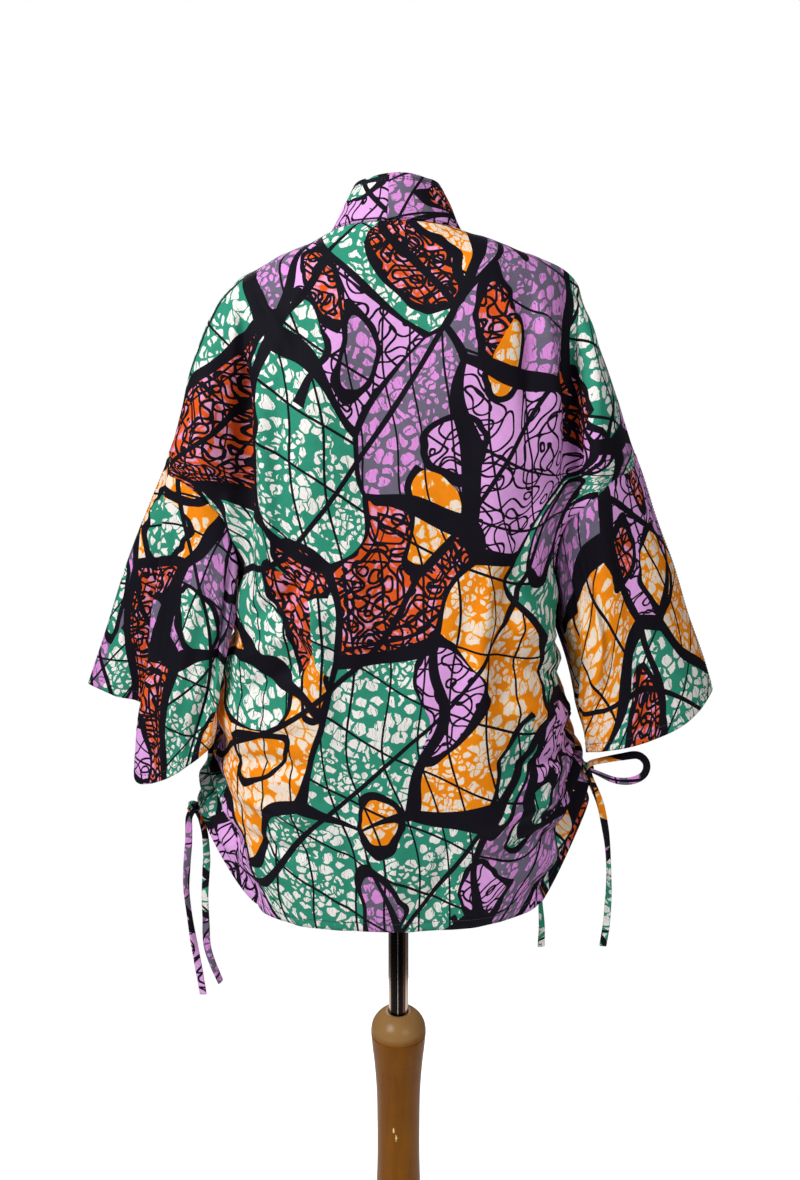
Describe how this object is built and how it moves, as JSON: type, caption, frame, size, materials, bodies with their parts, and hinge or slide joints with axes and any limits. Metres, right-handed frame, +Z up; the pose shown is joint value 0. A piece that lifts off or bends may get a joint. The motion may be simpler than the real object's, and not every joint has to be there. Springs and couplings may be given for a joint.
{
  "type": "kimono jacket on a dress form",
  "caption": "Open kimono jacket with wide three-quarter sleeves, a standing collar band and sides drawn up by tied cords, on a limbless dress form with a turned post.",
  "frame": {"origin": "on the floor at the middle of the round base", "axes": "+Z up along the pole; the jacket's back faces +Y, its open front faces -Y, and its left sleeve is on +X"},
  "size_m": [0.753, 0.344, 1.4578],
  "materials": {
    "printed_cotton": "matte",
    "cord_cloth": "matte",
    "form_cover": "matte",
    "pole_chrome": "polished",
    "stand_wood": "satin"
  },
  "bodies": {
    "root": {"back_panel": "printed_cotton", "front_left": "printed_cotton", "front_right": "printed_cotton", "sleeve_left": "printed_cotton", "sleeve_right": "printed_cotton", "collar_left": "printed_cotton", "collar_right": "printed_cotton", "cord_left_back": "cord_cloth", "cord_left_front": "cord_cloth", "cord_right_hang": "cord_cloth", "cord_right_loop": "cord_cloth", "cord_right_inner": "cord_cloth", "knot_left": "cord_cloth", "knot_right": "cord_cloth", "form_torso": "form_cover", "pole": "pole_chrome", "post": "stand_wood", "base": "stand_wood"}
  },
  "joints": []
}
